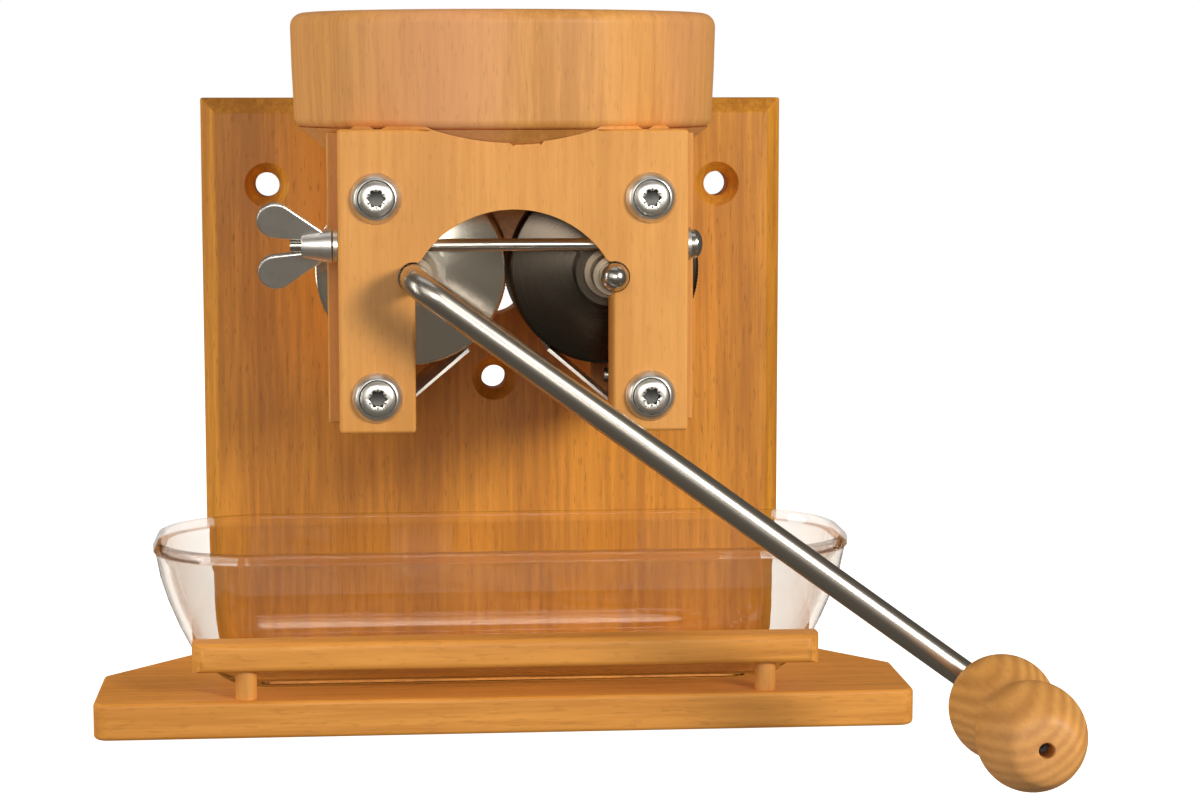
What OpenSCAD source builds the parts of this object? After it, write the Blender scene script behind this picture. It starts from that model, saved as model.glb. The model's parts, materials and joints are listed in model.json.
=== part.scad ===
// Hand-cranked grain flaker: a wooden hopper feeds two steel rollers held in an arched
// wooden body on a wall board, above a glass dish that a low rail keeps on the base.
// +Z is up and -Y is towards the person cranking. The origin is on the underside of the
// base, on the centreline, below the front face of the board.

/* [Board and base] */
// Width of the wall board
board_w = 236; // [200:0.1:290]
// Thickness of the wall board
board_t = 16; // [14:0.5:24]
// Bevel round the front of the board
board_bevel = 6; // [2:0.5:8]
// How far the board stands above the machine's body
board_over = 10; // [4:1:40]
// Radius of the three wall holes
wall_hole_r = 5; // [3:0.1:6]
// Radius of the countersink round each wall hole
wall_sink_r = 9; // [7:0.1:10]
// Distance of the upper wall holes in from the board's edges
wall_hole_inset = 26.5; // [14:0.5:32]
// Distance of the upper wall holes below the board's top
wall_hole_drop = 35; // [18:1:60]
// Radius of the sight hole behind the rollers
sight_r = 13; // [5:0.5:16]
// Width of the base
base_w = 311; // [290:1:380]
// Thickness of the base
base_t = 14; // [12:0.5:22]
// Reach of the base in front of the board
base_front = 105; // [100:1:140]
// Length of the base's straight ends, measured back from its front
base_side = 52; // [20:1:80]
// Rounding of the base's front corners
base_corner = 6; // [2:0.5:12]
// Width of the dish rail, front to back
rail_w = 14; // [12:0.5:18]
// Height of the dish rail
rail_h = 11; // [10:0.5:18]
// Length of the dish rail
rail_len = 237; // [220:1:280]
// Gap between the base and the rail
rail_lift = 11; // [6:0.5:20]
// Diameter of the posts that carry the rail
post_d = 8; // [6:0.5:9]
// Distance of each post from the rail's end
post_inset = 20; // [12:1:50]

/* [Rollers and shafts] */
// Height of the roller shafts above the underside of the base
axle_z = 176; // [165:1:230]
// Radius of the rollers
roller_r = 35.2; // [29:0.1:44]
// Length of the rollers
roller_len = 56; // [44:1:70]
// Gap between the rollers where the grain is flattened
nip_gap = 0.6; // [0.3:0.1:2]
// Diameter of the roller shafts and the crank rod
shaft_d = 10; // [8:0.1:12]
// Gap round each roller
roller_gap = 1; // [0.5:0.1:2]
// Wall of the collar in front of each roller
collar_wall = 7; // [5:0.5:8]
// Length of the collars
collar_len = 17; // [16:1:24]
// Wall of the bearing bushes
bush_wall = 1.95; // [1:0.05:3]
// Length of the bearing bushes
bush_len = 14; // [10:1:16]
// Thickness of the thrust washers
thrust_t = 1.6; // [1:0.1:2.5]
// End play on each side of a thrust washer
end_play = 0.2; // [0.1:0.05:0.4]
// Radial play of the shafts in their bushes
run_gap = 0.05; // [0.03:0.01:0.1]

/* [Wooden body] */
// Distance of the body's front face from the board
body_depth = 153; // [150:0.1:190]
// Thickness of the front and rear plates
plate_t = 20; // [18:0.5:24]
// Width of each leg of the front plate
leg_w = 27; // [24:0.5:36]
// How far the cheeks stand out past the front plate
cheek_out = 4; // [0:0.5:6]
// Thickness of the cheeks
cheek_t = 24; // [22:0.5:30]
// How much shorter the cheeks are than the plates, at each end
cheek_short = 1.5; // [0:0.1:3]
// Length of the legs below the rollers
leg_drop = 20; // [20:1:40]
// Wood between the rollers and the hopper's seat
seat_web = 5.8; // [4:0.1:12]
// Depth of the hopper's conical seat
seat_depth = 10; // [6:0.5:14]
// Wood above the arch
arch_cover = 28; // [24:1:36]
// Rise of the arch
arch_rise = 27; // [24:0.5:34]
// Radius of the arch's shoulders
arch_shoulder = 20; // [12:0.5:22]
// Free play of screws in wood and of loose wooden seats
wood_gap = 0.1; // [0.05:0.01:0.2]

/* [Hopper] */
// Outer radius of the hopper
hopper_r = 79.5; // [66:0.1:96]
// Height of the hopper's ring
hopper_h = 42; // [34:1:60]
// Wall of the hopper's ring
hopper_wall = 9; // [7:0.5:14]
// Rounding of the hopper's edges
hopper_edge = 5; // [2:0.5:6]
// Radius of the hole in the hopper's floor
spout_r = 13; // [8:0.5:16]
// Distance of the hopper's centre behind the body's front face
hopper_set = 71.8; // [60:0.1:80]
// Least gap between the hopper and the board
hopper_gap = 1.7; // [1:0.1:6]
// Gap round the hopper's conical underside
seat_gap = 0.3; // [0.1:0.05:0.6]

/* [Crank] */
// Distance from the drive shaft to the knob's axle
crank_len = 247.5; // [190:0.5:300]
// Angle of the stored crank below the horizontal
crank_angle = 36; // [30:1:38]
// Distance of the crank's arm in front of the body
crank_reach = 22; // [18:0.5:30]
// Centreline radius of the crank's bends
bend_r = 10; // [8:0.5:12]
// Length of the knob
knob_len = 84; // [70:1:100]
// Largest diameter of the knob
knob_d = 37; // [30:0.5:42]
// Diameter of the knob's waist
knob_waist = 27; // [24:0.5:30]

/* [Clamp] */
// Diameter of the clamp bolt
bolt_d = 4.4; // [4:0.1:6]
// Pitch of the clamp bolt's thread
bolt_pitch = 0.8; // [0.7:0.1:1]
// Radius of the clamp's washers
clamp_washer_r = 6; // [5:0.1:8]
// Thickness of the clamp's washers
clamp_washer_t = 1.6; // [1:0.1:2]
// Span of the wing nut's wings
wing_span = 33; // [26:0.5:36]

/* [Glass dish] */
// Width of the dish's rim
dish_w = 269; // [250:1:320]
// Depth of the dish's rim, front to back
dish_depth = 102; // [96:1:110]
// Height of the dish
dish_h = 56; // [46:1:66]
// Thickness of the glass
glass_t = 3.5; // [2.5:0.1:5]
// Gap between the dish's rim and the board
dish_gap = 6; // [2:0.5:12]
// Gap between the dish and the rail
rail_gap = 0.8; // [0.5:0.1:2]

/* [Hidden] */

$fn = 96;
cut = 1;

beech = "#d99a56";
dark_beech = "#b97f45";
steel = "#c9c7c2";
dark_steel = "#8f8b86";
brass = "#c8a55a";
glass = "#dfeeee";

// Rollers and shafts, across
shaft_r = shaft_d / 2;
roller_x = roller_r + nip_gap / 2;
bush_r = shaft_r + run_gap + bush_wall;
collar_r = shaft_r + collar_wall;

// The body's heights
slot_r = roller_r + roller_gap;
seat_z = axle_z + slot_r + seat_web;
top_z = seat_z + seat_depth;
foot_z = axle_z - roller_r - leg_drop;
arch_z = top_z - arch_cover;
board_top = top_z + board_over;

// The body's widths
arch_edge = 0.5;
arch_half = roller_x - arch_edge;
front_half = arch_half + leg_w;
cheek_x1 = front_half + cheek_out;
cheek_x0 = cheek_x1 - cheek_t;

// The body's depths, from front to back
thrust_gap = thrust_t + 2 * end_play;
front_y = -body_depth;
front_back_y = front_y + plate_t;
roller_y0 = front_back_y + thrust_gap + collar_len;
roller_y1 = roller_y0 + roller_len;
rear_y = roller_y1 + thrust_gap;
rear_back_y = rear_y + plate_t;

// Hopper and its seat
hopper_y = -max(hopper_r + hopper_gap, body_depth - hopper_set);
seat_top_r = hopper_r - 2.2;
seat_slope = 1.18;
seat_floor_r = seat_top_r - seat_slope * seat_depth;

// Board
board_half = board_w / 2;
wall_hole_x = board_half - wall_hole_inset;
wall_hole_z = board_top - wall_hole_drop;
low_hole_z = foot_z + 3;
sight_z = axle_z - sight_r;
sink_depth = wall_sink_r - wall_hole_r;

// Base, rail and dish
base_half = base_w / 2;
rail_y = -(base_front - rail_w / 2);
rail_z = base_t + rail_lift;
post_x = rail_len / 2 - post_inset;
post_r = post_d / 2;
post_sunk = 6;
dish_y = -(dish_gap + dish_depth / 2);
dish_half = dish_w / 2;
dish_low_z = rail_lift + rail_h;
dish_low_half = -(rail_y + rail_w / 2) - rail_gap + dish_y;

// Screws
screw_r = 3;
screw_len = plate_t + 14;
screw_x = arch_half + leg_w / 2;
screw_high_z = seat_z - 14;
screw_low_z = foot_z + 12.8;
cup_r = 9;
cup_h = 3;
head_r = 6.5;
wood_screw_r = 2.5;
wood_head_r = 5;
back_screw_x = (cheek_x0 + cheek_x1) / 2;
back_screw_low_z = foot_z + 13;
back_screw_high_z = seat_z - 5.5;
back_screw_bite = 16;
base_screw_x = 80;
base_screw_len = 44;

// Clamp
bolt_r = bolt_d / 2;
bolt_y = front_y + plate_t / 2;
bolt_z = axle_z + bush_r + bolt_r + 1.8;
nut_gap = 0.3;
nut_x = front_half + clamp_washer_t + nut_gap;
hub_len = 11;
wing_lean = 20;

// Crank and knob
arm_y = front_y - crank_reach;
knob_bore_r = shaft_r - 1;
shoulder_y = arm_y - bend_r - 1;
knob_washer_t = 1.6;
knob_play = 0.3;
knob_y = shoulder_y - knob_washer_t - knob_play;
knob_web = 3;
knob_hole_depth = 11;
axle_end = knob_len - knob_hole_depth - knob_web - knob_play;
knob_screw_r = 1.5;
knob_screw_head_r = 2.5;

// Circlips
clip_t = 1.2;
clip_r = shaft_r + 2.6;
clip_y = rear_back_y + end_play;
shaft_end_y = clip_y + clip_t + 1.8;
groove_r = shaft_r - 0.5;

// Scrapers
scraper_t = 1.2;
scraper_gap = 0.4;
scraper_angle = 35;
scraper_fold_z = foot_z + 4;
scraper_flange = 12;
scraper_screw_z = scraper_fold_z + 7.5;
scraper_screw_y = [roller_y0 + 14, roller_y1 - 12];

// Points along an arc
function arc(x, y, r, a0, a1, n = 8) =
    [for (i = [0:n]) [x + r * cos(a0 + (a1 - a0) * i / n), y + r * sin(a0 + (a1 - a0) * i / n)]];

// A cylinder along +Y from y0 to y1, about the axis at x, z
module rod_y(x, z, r, y0, y1) {
    translate([x, y1, z]) rotate([90, 0, 0]) cylinder(h = y1 - y0, r = r);
}

// A cylinder along +X from x0 to x1, about the axis at y, z
module rod_x(y, z, r, x0, x1) {
    translate([x0, y, z]) rotate([0, 90, 0]) cylinder(h = x1 - x0, r = r);
}

// A flat ring about the Y axis at x, z
module ring_y(x, z, r0, r1, y0, y1) {
    difference() {
        rod_y(x, z, r1, y0, y1);
        rod_y(x, z, r0, y0 - cut, y1 + cut);
    }
}

// Both sides of the machine
module both_sides() {
    for (side = [0, 1]) mirror([side, 0, 0]) children();
}

// ---- Board, base and rail ----

// Countersunk hole from the front of the board
module wall_hole(x, z) {
    rod_y(x, z, wall_hole_r, -cut, board_t + cut);
    translate([x, 0, z]) rotate([-90, 0, 0])
        cylinder(h = sink_depth, r1 = wall_sink_r, r2 = wall_hole_r);
}

module back_board() {
    h = board_top - base_t;
    color(beech) difference() {
        intersection() {
            translate([0, 0, base_t]) linear_extrude(h) polygon([
                [-board_half, board_t], [-board_half, board_bevel],
                [-board_half + board_bevel, 0], [board_half - board_bevel, 0],
                [board_half, board_bevel], [board_half, board_t]
            ]);
            translate([-board_half, 0, base_t]) rotate([90, 0, 90]) linear_extrude(board_w) polygon([
                [0, 0], [board_t, 0], [board_t, h], [board_bevel, h], [0, h - board_bevel]
            ]);
        }
        for (side = [-1, 1]) wall_hole(side * wall_hole_x, wall_hole_z);
        wall_hole(0, low_hole_z);
        rod_y(0, sight_z, sight_r, -cut, board_t + cut);
        back_screw_places() wood_screw_hole(board_t + cut);
        base_screw_places() wood_screw_hole(base_screw_len + 2);
    }
}

module base_shelf() {
    chamfer_y = -(base_front - base_side);
    color(beech) difference() {
        linear_extrude(base_t) polygon(concat(
            arc(-base_half + base_corner, -base_front + base_corner, base_corner, 180, 270),
            arc(base_half - base_corner, -base_front + base_corner, base_corner, 270, 360),
            [
                [base_half, chamfer_y], [board_half, -7], [board_half, board_t],
                [-board_half, board_t], [-board_half, -7], [-base_half, chamfer_y]
            ]
        ));
        base_screw_places() wood_screw_hole(base_t + cut);
        for (side = [-1, 1]) translate([side * post_x, rail_y, base_t - post_sunk])
            cylinder(h = post_sunk + cut, r = post_r + wood_gap);
    }
}

module dish_rail() {
    end = 5;
    edge = 2.5;
    x = rail_len / 2 - end;
    y = rail_w / 2 - end;
    half = rail_len / 2;
    color(beech) difference() {
        intersection() {
            translate([0, rail_y, rail_z]) linear_extrude(rail_h) polygon(concat(
                arc(-x, -y, end, 180, 270), arc(x, -y, end, 270, 360),
                arc(x, y, end, 0, 90), arc(-x, y, end, 90, 180)
            ));
            translate([-half, rail_y, rail_z]) rotate([90, 0, 90]) linear_extrude(rail_len) polygon(concat(
                arc(-rail_w / 2 + edge, edge, edge, 180, 270, 6),
                arc(rail_w / 2 - edge, edge, edge, 270, 360, 6),
                arc(rail_w / 2 - edge, rail_h - edge, edge, 0, 90, 6),
                arc(-rail_w / 2 + edge, rail_h - edge, edge, 90, 180, 6)
            ));
        }
        for (side = [-1, 1]) translate([side * post_x, rail_y, rail_z - cut])
            cylinder(h = post_sunk + cut, r = post_r + wood_gap);
    }
}

module rail_post(side) {
    color(dark_beech) translate([side * post_x, rail_y, base_t - post_sunk])
        cylinder(h = rail_lift + 2 * post_sunk, r = post_r);
}

module rail_post_left() { rail_post(-1); }

module rail_post_right() { rail_post(1); }

// ---- Screws and washers ----

// Countersunk wood screw along +Z, its flat head at z = 0
module wood_screw(len, r = wood_screw_r, head = wood_head_r) {
    difference() {
        rotate_extrude() polygon([
            [0, 0], [head, 0], [head, 0.4], [r, 0.4 + head - r], [r, len - 5], [0.4, len], [0, len]
        ]);
        translate([0, 0, -cut]) cylinder(h = 1.8 + cut, r = 1.6, $fn = 6);
    }
}

// The hole that a wood screw runs in
module wood_screw_hole(len, r = wood_screw_r + wood_gap, head = wood_head_r + wood_gap) {
    translate([0, 0, -cut]) cylinder(h = cut + 0.5, r = head);
    translate([0, 0, 0.5]) cylinder(h = head - r, r1 = head, r2 = r);
    cylinder(h = len, r = r);
}

module base_screw_places() {
    for (x = [-base_screw_x, 0, base_screw_x]) translate([x, board_t / 2, 0]) children();
}

// The screws that hold the body to the board, driven from the board's back
module back_screw_places() {
    for (side = [-1, 1]) for (z = [back_screw_low_z, back_screw_high_z])
        translate([side * back_screw_x, board_t, z]) rotate([90, 0, 0]) children();
}

module plate_screw_places() {
    for (side = [-1, 1]) for (z = [screw_low_z, screw_high_z])
        translate([side * screw_x, front_y, z]) rotate([-90, 0, 0]) children();
}

module base_screws() {
    color(steel) base_screw_places() wood_screw(base_screw_len);
}

module back_screws() {
    color(steel) back_screw_places() wood_screw(board_t - rear_y + back_screw_bite);
}

module plate_screws() {
    color(steel) plate_screw_places() difference() {
        rotate_extrude() polygon(concat(
            [[0, screw_len], [0.4, screw_len], [screw_r, screw_len - 6], [screw_r, 0.05]],
            [for (i = [0:6]) [(head_r - 0.25) * cos(15 * i), -cup_h - 1.4 * sin(15 * i)]]
        ));
        translate([0, 0, -cup_h - 1.4 - cut]) cylinder(h = 3 + cut, r = 3.1, $fn = 6);
    }
}

module cup_washers() {
    color(steel) plate_screw_places() rotate_extrude() polygon([
        [screw_r + 0.3, 0], [cup_r, 0], [cup_r, -0.7], [cup_r - 0.9, -2.1], [cup_r - 1.9, -cup_h],
        [head_r, -cup_h]
    ]);
}

// ---- Wooden body ----

// The arch's opening, down past the feet: two shoulders and a flatter crown that meets them
module arch_shape() {
    spring_z = arch_z - arch_rise;
    inset = arch_half - arch_shoulder;
    crown_r = (pow(arch_half, 2) - 2 * arch_half * arch_shoulder + pow(arch_rise, 2))
        / (2 * (arch_rise - arch_shoulder));
    crown_z = arch_z - crown_r;
    meet = crown_r / (crown_r - arch_shoulder);
    translate([-arch_half, foot_z - cut]) square([2 * arch_half, spring_z - foot_z + cut]);
    for (side = [-1, 1]) translate([side * inset, spring_z]) circle(r = arch_shoulder);
    translate([-inset, spring_z - cut]) square([2 * inset, arch_shoulder / 2]);
    intersection() {
        translate([0, crown_z]) circle(r = crown_r);
        polygon([
            [0, crown_z], [inset * meet * 1.2, crown_z + (spring_z - crown_z) * meet * 1.2],
            [0, arch_z + crown_r], [-inset * meet * 1.2, crown_z + (spring_z - crown_z) * meet * 1.2]
        ]);
    }
}

// An arched plate from y0 back, half as wide as given
module arched_plate(half, y0) {
    translate([0, y0 + plate_t, 0]) rotate([90, 0, 0]) linear_extrude(plate_t) difference() {
        translate([-half, foot_z]) square([2 * half, top_z - foot_z]);
        arch_shape();
    }
}

// The conical recess that the hopper sits in
module seat_cut() {
    translate([0, hopper_y, seat_z]) cylinder(h = seat_depth, r1 = seat_floor_r, r2 = seat_top_r);
    translate([0, hopper_y, top_z - 0.01]) cylinder(h = cut, r = seat_top_r);
}

module front_plate() {
    color(beech) difference() {
        arched_plate(front_half, front_y);
        for (side = [-1, 1]) {
            rod_y(side * roller_x, axle_z, bush_r + wood_gap / 2, front_back_y - bush_len, front_back_y + cut);
            rod_y(side * roller_x, axle_z, shaft_r + 0.6, front_y - cut, front_back_y);
        }
        rod_x(bolt_y, bolt_z, bolt_r + wood_gap, -front_half - cut, front_half + cut);
        plate_screw_places() translate([0, 0, -cut]) cylinder(h = plate_t + 2 * cut, r = screw_r + wood_gap);
        seat_cut();
    }
}

module rear_plate() {
    color(beech) difference() {
        arched_plate(cheek_x1, rear_y);
        for (side = [-1, 1]) {
            rod_y(side * roller_x, axle_z, bush_r + wood_gap / 2, rear_y - cut, rear_y + bush_len);
            rod_y(side * roller_x, axle_z, shaft_r + 0.6, rear_y, rear_back_y + cut);
        }
        back_screw_places() wood_screw_hole(board_t - rear_y + cut);
        seat_cut();
    }
}

// The right-hand cheek: the left one is its mirror image
module cheek() {
    z0 = foot_z + cheek_short;
    color(beech) difference() {
        translate([cheek_x0, front_back_y, z0])
            cube([cheek_t, rear_y - front_back_y, top_z - cheek_short - z0]);
        rod_y(roller_x, axle_z, slot_r, roller_y0 - roller_gap, roller_y1 + roller_gap);
        rod_y(roller_x, axle_z, collar_r + roller_gap, front_back_y - cut, roller_y0);
        rod_y(roller_x, axle_z, collar_r, roller_y1, rear_y + cut);
        plate_screw_places() cylinder(h = screw_len + 1, r = screw_r + wood_gap);
        back_screw_places() wood_screw_hole(board_t - rear_y + back_screw_bite + 1);
        for (y = scraper_screw_y) rod_x(y, scraper_screw_z, 1.5 + wood_gap, cheek_x0 - cut, cheek_x0 + 11);
        seat_cut();
    }
}

module right_cheek() { cheek(); }

module left_cheek() { mirror([1, 0, 0]) cheek(); }

// The right-hand block between the rear plate and the board
module spacer() {
    x0 = roller_x + clip_r + 1;
    z0 = foot_z + cheek_short;
    color(beech) difference() {
        translate([x0, rear_back_y, z0]) cube([cheek_x1 - x0, -rear_back_y, top_z - cheek_short - z0]);
        back_screw_places() wood_screw_hole(board_t - rear_y);
        seat_cut();
    }
}

module right_spacer() { spacer(); }

module left_spacer() { mirror([1, 0, 0]) spacer(); }

// The block above the rollers: its wedge reaches down between them and closes the nip's ends
module chute_block() {
    wedge_z = axle_z + 9.5;
    wall = 6;
    feed_half = 9;
    color(dark_beech) difference() {
        union() {
            translate([-cheek_x0, front_back_y, arch_z + 2])
                cube([2 * cheek_x0, rear_y - front_back_y, top_z - arch_z - 2]);
            translate([-cheek_x0, roller_y0, wedge_z])
                cube([2 * cheek_x0, rear_y - roller_y0, top_z - wedge_z]);
        }
        for (side = [-1, 1]) rod_y(side * roller_x, axle_z, slot_r, roller_y0 - roller_gap, rear_y + cut);
        translate([-feed_half, roller_y0 + wall, wedge_z - cut])
            cube([2 * feed_half, roller_len - 2 * wall, seat_z - wedge_z + 2 * cut]);
        translate([0, hopper_y, seat_z - 10]) cylinder(h = 10 + cut, r = spout_r + 1);
        seat_cut();
    }
}

// ---- Hopper and dish ----

module hopper() {
    e = hopper_edge;
    ring_top = top_z + hopper_h;
    inner = hopper_r - hopper_wall;
    low_r = hopper_r - 1.2;
    bowl_z = top_z + 14;
    throat_z = seat_z + 7;
    color(beech) translate([0, hopper_y, 0]) rotate_extrude() polygon(concat(
        [[spout_r, seat_z + seat_gap], [seat_floor_r - seat_gap, seat_z + seat_gap],
         [seat_top_r - seat_gap, top_z]],
        arc(low_r - e * 0.7, top_z + e * 0.7, e * 0.7, 270, 360, 5),
        arc(hopper_r - e, ring_top - e, e, 0, 90, 6),
        arc(inner + 3, ring_top - 3, 3, 90, 180, 5),
        [[inner - 1, bowl_z + 8]],
        arc(inner - 13, bowl_z + 10, 12, 0, -55, 6),
        [[spout_r, throat_z]]
    ));
}

// A rounded rectangle of the dish at height z above the base
module dish_slab(half_w, half_d, corner, z) {
    translate([0, dish_y, base_t + z]) linear_extrude(0.01)
        hull() for (x = [-1, 1]) for (y = [-1, 1])
            translate([x * (half_w - corner), y * (half_d - corner)]) circle(r = corner, $fn = 32);
}

// The dish's outside, or its inside when shrunk by the glass
module dish_form(shrink, floor) {
    hull() {
        dish_slab(dish_half - 27 - shrink, dish_low_half - 9 - shrink, 20, floor);
        dish_slab(dish_half - 16.5 - shrink, dish_low_half - 2.5 - shrink, 26, 8 + floor / 2);
        dish_slab(dish_half - 11 - shrink, dish_low_half - shrink, 28, dish_low_z);
    }
    hull() {
        dish_slab(dish_half - 11 - shrink, dish_low_half - shrink, 28, dish_low_z - 0.01);
        dish_slab(dish_half - shrink, dish_depth / 2 - shrink, 40, dish_h + (floor > 0 ? 0.1 : -0.01));
    }
}

module glass_dish() {
    color(glass, 0.4) difference() {
        dish_form(0, 0);
        dish_form(glass_t, glass_t);
    }
}

// ---- Rollers and their shafts ----

module roller(side) {
    difference() {
        rod_y(side * roller_x, axle_z, roller_r, roller_y0, roller_y1);
        rod_y(side * roller_x, axle_z, shaft_r + 0.02, roller_y0 - cut, roller_y1 + cut);
    }
}

module collar(side) {
    groove_y = roller_y0 - collar_len / 2 + 5;
    difference() {
        rod_y(side * roller_x, axle_z, collar_r, roller_y0 - collar_len, roller_y0);
        rod_y(side * roller_x, axle_z, shaft_r + 0.02, roller_y0 - collar_len - cut, roller_y0 + cut);
        ring_y(side * roller_x, axle_z, collar_r - 1.2, collar_r + cut, groove_y, groove_y + 1.4);
        set_screw_at(side) cylinder(h = collar_r + cut, r = 2.5 + wood_gap / 2);
    }
}

module set_screw_at(side) {
    translate([side * roller_x, roller_y0 - collar_len / 2 - 2, axle_z]) children();
}

module set_screw(side) {
    set_screw_at(side) difference() {
        translate([0, 0, shaft_r + 0.05]) cylinder(h = collar_r - shaft_r - 0.6, r = 2.5);
        translate([0, 0, collar_r - 3]) cylinder(h = 4, r = 1.4, $fn = 6);
    }
}

module thrust_washers(side) {
    for (y = [front_back_y + end_play, roller_y1 + end_play])
        ring_y(side * roller_x, axle_z, shaft_r + 0.2, bush_r + 2, y, y + thrust_t);
}

module circlip(side) {
    difference() {
        ring_y(side * roller_x, axle_z, groove_r + 0.05, clip_r, clip_y, clip_y + clip_t);
        translate([side * roller_x - 2, clip_y - cut, axle_z - shaft_r - 4]) cube([4, clip_t + 2 * cut, 5]);
    }
}

module circlip_groove() {
    ring_y(0, 0, groove_r, shaft_r + cut, clip_y - 0.05, clip_y + clip_t + 0.05);
}

module bush(side, y0) {
    color(brass) ring_y(side * roller_x, axle_z, shaft_r + run_gap, bush_r, y0, y0 + bush_len);
}

module front_left_bush() { bush(-1, front_back_y - bush_len); }

module front_right_bush() { bush(1, front_back_y - bush_len); }

module rear_left_bush() { bush(-1, rear_y); }

module rear_right_bush() { bush(1, rear_y); }

// Shaft, arm and knob axle in one bent rod
module crank_rod() {
    y_bend = arm_y + bend_r;
    color(steel) translate([-roller_x, 0, axle_z]) rotate([0, crank_angle, 0]) difference() {
        union() {
            rod_y(0, 0, shaft_r, y_bend, shaft_end_y);
            translate([bend_r, y_bend, 0]) rotate([0, 0, 180])
                rotate_extrude(angle = 90) translate([bend_r, 0]) circle(r = shaft_r);
            rod_x(arm_y, 0, shaft_r, bend_r, crank_len - bend_r);
            translate([crank_len - bend_r, arm_y - bend_r, 0])
                rotate_extrude(angle = 90) translate([bend_r, 0]) circle(r = shaft_r);
            rod_y(crank_len, 0, shaft_r, shoulder_y, arm_y - bend_r);
            rod_y(crank_len, 0, knob_bore_r, knob_y - axle_end, shoulder_y);
        }
        rod_y(crank_len, 0, knob_screw_r + wood_gap / 2, knob_y - axle_end - cut, knob_y - axle_end + 13);
        circlip_groove();
    }
}

module drive_roller() { color(steel) roller(-1); }

module drive_collar() { color(steel) collar(-1); }

module drive_set_screw() { color(dark_steel) set_screw(-1); }

module drive_thrust_washers() { color(brass) thrust_washers(-1); }

module drive_circlip() { color(dark_steel) circlip(-1); }

module idler_shaft() {
    dome_y = front_y - 2;
    color(steel) translate([roller_x, 0, axle_z]) difference() {
        union() {
            rod_y(0, 0, shaft_r, dome_y, shaft_end_y);
            translate([0, dome_y, 0]) sphere(r = shaft_r);
        }
        circlip_groove();
    }
}

module idler_roller() { color(dark_steel) roller(1); }

module idler_collar() { color(steel) collar(1); }

module idler_set_screw() { color(dark_steel) set_screw(1); }

module idler_thrust_washers() { color(brass) thrust_washers(1); }

module idler_circlip() { color(dark_steel) circlip(1); }

// ---- Scrapers ----

// A folded spring blade: its flange lies on the right-hand cheek, its edge meets the roller
module scraper() {
    reach = roller_r + scraper_gap;
    tip = [roller_x - reach * sin(scraper_angle), axle_z - reach * cos(scraper_angle)];
    fold = [cheek_x0 - scraper_t, scraper_fold_z];
    along = (tip - fold) / norm(tip - fold);
    across = [along[1], -along[0]] * scraper_t;
    translate([0, roller_y1 - 2, 0]) rotate([90, 0, 0]) linear_extrude(roller_len - 4) difference() {
        polygon([
            [cheek_x0, fold[1] - scraper_t], [cheek_x0, fold[1] + scraper_flange],
            [cheek_x0 - scraper_t, fold[1] + scraper_flange], fold, tip,
            tip - [across[0], across[1]], fold - [0, scraper_t]
        ]);
    }
}

module scraper_holes() {
    for (y = scraper_screw_y)
        rod_x(y, scraper_screw_z, 1.5 + wood_gap, cheek_x0 - scraper_t - cut, cheek_x0 + cut);
}

module scraper_screws() {
    for (y = scraper_screw_y) {
        rod_x(y, scraper_screw_z, 1.5, cheek_x0 - scraper_t, cheek_x0 + 10);
        rod_x(y, scraper_screw_z, 2.8, cheek_x0 - scraper_t - 1.8, cheek_x0 - scraper_t);
    }
}

module right_scraper() {
    color(steel) difference() {
        scraper();
        scraper_holes();
    }
}

module left_scraper() { mirror([1, 0, 0]) right_scraper(); }

module right_scraper_screws() { color(steel) scraper_screws(); }

module left_scraper_screws() { mirror([1, 0, 0]) right_scraper_screws(); }

// ---- Clamp ----

module clamp_bolt() {
    head_x = front_half + clamp_washer_t;
    color(steel) {
        rod_x(bolt_y, bolt_z, bolt_r, -nut_x - hub_len - 4, head_x);
        translate([head_x, bolt_y, bolt_z]) rotate([0, 90, 0]) rotate_extrude() polygon(concat(
            [[0, 0], [clamp_washer_r - 0.8, 0]],
            [for (i = [0:6]) [(clamp_washer_r - 0.8) * cos(15 * i), 1.5 + 3 * sin(15 * i)]]
        ));
    }
}

module clamp_washer() {
    difference() {
        rod_x(bolt_y, bolt_z, clamp_washer_r, front_half, front_half + clamp_washer_t);
        rod_x(bolt_y, bolt_z, bolt_r + 0.2, front_half - cut, front_half + clamp_washer_t + cut);
    }
}

module bolt_washer() { color(steel) clamp_washer(); }

module wing_washer() {
    color(steel) translate([-nut_gap / 2, 0, 0]) mirror([1, 0, 0]) clamp_washer();
}

module wing_nut() {
    wing_r = 6.6;
    wing_t = 2.6;
    wing_at = wing_span / 2 - wing_r;
    color(steel) translate([-nut_x, bolt_y, bolt_z]) rotate([wing_lean, 0, 0]) rotate([0, -90, 0]) difference() {
        union() {
            cylinder(h = hub_len, r1 = 6.2, r2 = 4.6);
            for (side = [-1, 1]) hull() {
                translate([side * 4, 0, 5]) rotate([90, 0, 0])
                    cylinder(h = wing_t, r = 2.4, center = true, $fn = 32);
                translate([side * wing_at, 0, 20]) rotate([90, 0, 0])
                    cylinder(h = wing_t, r = wing_r, center = true, $fn = 32);
            }
        }
        translate([0, 0, -cut]) cylinder(h = 40, r = bolt_r + 0.1);
    }
}

// ---- Knob ----

module knob_at() {
    translate([-roller_x, 0, axle_z]) rotate([0, crank_angle, 0])
        translate([crank_len, knob_y, 0]) rotate([90, 0, 0]) children();
}

// Two lobes and a waist, with rounded ends
function knob_radius(s) =
    let (mean = (knob_d + knob_waist) / 4, swing = (knob_d - knob_waist) / 4, e = 8)
    let (inside = min(s, knob_len - s), cap = inside < e ? sqrt(1 - pow(1 - inside / e, 2)) : 1)
    (mean - swing * cos(720 * s / knob_len)) * (0.66 + 0.34 * cap);

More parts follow.
